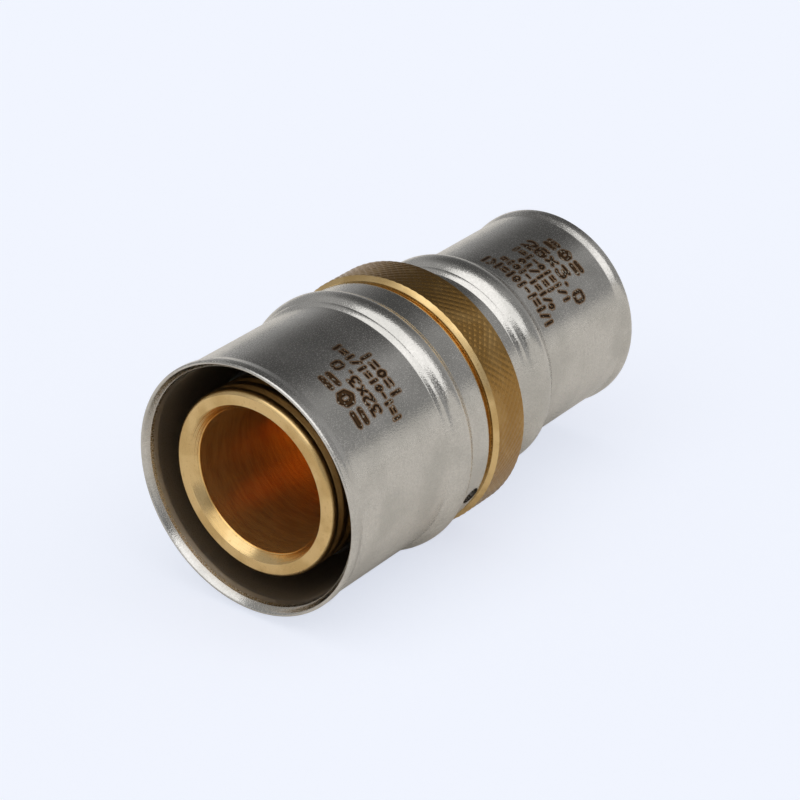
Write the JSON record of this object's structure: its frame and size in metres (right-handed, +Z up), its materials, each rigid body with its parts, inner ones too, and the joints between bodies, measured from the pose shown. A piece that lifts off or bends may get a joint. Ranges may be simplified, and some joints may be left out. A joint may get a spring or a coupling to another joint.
{
  "type": "reducing press coupling",
  "caption": "Straight reducing press coupling for multilayer pipe: a brass body with grooved, sealed nipples and a knurled collar, under stainless steel press sleeves that turn on it.",
  "frame": {"origin": "on the axis, half way between the mouths of the two sleeves", "axes": "+X along the axis towards the small end, +Z up, with the coupling lying on its side"},
  "size_m": [0.0676, 0.0368, 0.0368],
  "materials": {
    "brass": "satin, turned, with a fine diamond knurl on the collar",
    "sleeve_steel": "satin drawn stainless steel",
    "seal_rubber": "matt black",
    "washer_plastic": "matt black"
  },
  "bodies": {
    "body": {"brass_body": "brass", "large_insulating_washer": "washer_plastic", "small_insulating_washer": "washer_plastic", "large_front_o_ring": "seal_rubber", "large_rear_o_ring": "seal_rubber", "small_front_o_ring": "seal_rubber", "small_rear_o_ring": "seal_rubber"},
    "large_sleeve": {"large_press_sleeve": "sleeve_steel"},
    "small_sleeve": {"small_press_sleeve": "sleeve_steel"}
  },
  "joints": [
    {"name": "large_sleeve_turn", "type": "hinge", "parent": "body", "child": "large_sleeve", "pos_m": [-0.00515, 0, 0], "axis": [1, 0, 0], "continuous": true},
    {"name": "small_sleeve_turn", "type": "hinge", "parent": "body", "child": "small_sleeve", "pos_m": [0.00385, 0, 0], "axis": [1, 0, 0], "continuous": true}
  ]
}
